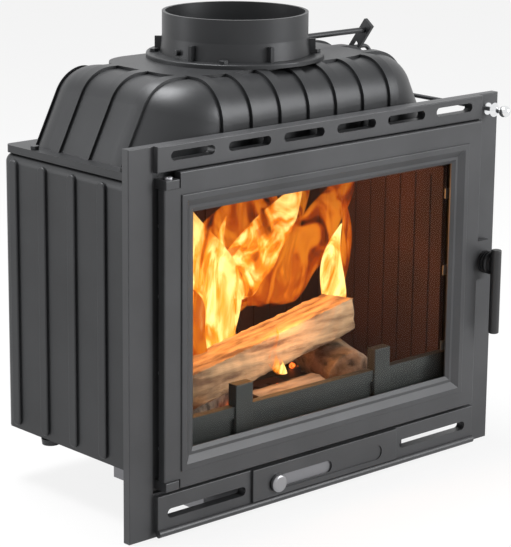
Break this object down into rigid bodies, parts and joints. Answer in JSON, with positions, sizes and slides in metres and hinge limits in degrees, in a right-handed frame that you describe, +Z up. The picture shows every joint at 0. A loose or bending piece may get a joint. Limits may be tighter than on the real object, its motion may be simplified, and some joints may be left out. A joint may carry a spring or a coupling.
{
  "type": "fireplace insert",
  "caption": "Cast iron wood-burning fireplace insert with a glazed hinged door, ribbed casing, domed hood, round flue collar with a damper, and an air slide.",
  "frame": {"origin": "centre of the four stand studs' holes, on the underside of the hearth base", "axes": "+X right seen from the front, +Y into the insert, +Z up along the flue"},
  "size_m": [0.67, 0.3625, 0.632],
  "materials": {
    "cast_iron": "satin anthracite paint",
    "painted_cast": "satin anthracite paint",
    "steel": "dark bare steel",
    "fixings": "bright zinc",
    "bright": "polished",
    "handle": "matte black",
    "glass": "clear ceramic glass",
    "rope": "woven glass fibre",
    "logs": "split, with bark"
  },
  "bodies": {
    "casing": {"air_box": "steel", "air_cover": "painted_cast", "ash_pan": "steel", "back_liner": "cast_iron", "back_log": "logs", "back_wall": "cast_iron", "baffle_plate": "cast_iron", "collar_bolts": "fixings", "flue_collar": "cast_iron", "frame_screws": "fixings", "front_frame": "cast_iron", "front_log": "logs", "grate": "cast_iron", "hearth_base": "cast_iron", "hinge_pins": "fixings", "hood": "cast_iron", "hood_bolts": "fixings", "latch_keeper": "steel", "left_liner": "cast_iron", "left_wall": "cast_iron", "log_guard": "cast_iron", "long_log": "logs", "right_liner": "cast_iron", "right_log": "logs", "right_wall": "cast_iron", "rod_guide": "fixings"},
    "door": {"door_frame": "cast_iron", "glass_tape": "rope", "door_glass": "glass", "door_rope": "rope", "glass_clips": "steel", "clip_screws": "fixings", "latch_bush": "fixings"},
    "latch": {"latch_spindle": "fixings", "latch_cam": "fixings", "latch_nut": "fixings", "lever_hub": "fixings", "handle_grip": "handle"},
    "air_slide": {"air_slide": "steel", "air_knob": "bright"},
    "damper": {"damper_plate": "steel", "damper_screws": "fixings", "damper_spindle": "fixings", "damper_crank": "steel", "crank_bolt": "fixings"},
    "rod": {"damper_rod": "steel", "ball_knob": "bright"}
  },
  "joints": [
    {"name": "door_hinge", "type": "hinge", "parent": "casing", "child": "door", "pos_m": [-0.278, -0.148, 0.197], "axis": [0, 0, -1], "range_deg": [0, 110]},
    {"name": "handle_turn", "type": "hinge", "parent": "door", "child": "latch", "pos_m": [0.303, -0.15, 0.199], "axis": [0, -1, 0], "range_deg": [0, 90]},
    {"name": "air_slide", "type": "slide", "parent": "casing", "child": "air_slide", "axis": [1, 0, 0], "range_m": [0, 0.092]},
    {"name": "damper_turn", "type": "hinge", "parent": "casing", "child": "damper", "pos_m": [0, 0.041, 0.512], "axis": [-1, 0, 0], "range_deg": [0, 73]},
    {"name": "rod_slide", "type": "slide", "parent": "casing", "child": "rod", "axis": [0, -1, 0], "range_m": [0, 0.04]}
  ],
  "couplings": [
    {"joint": "rod_slide", "follows": "damper_turn", "m_per_rad": 0.03137}
  ]
}
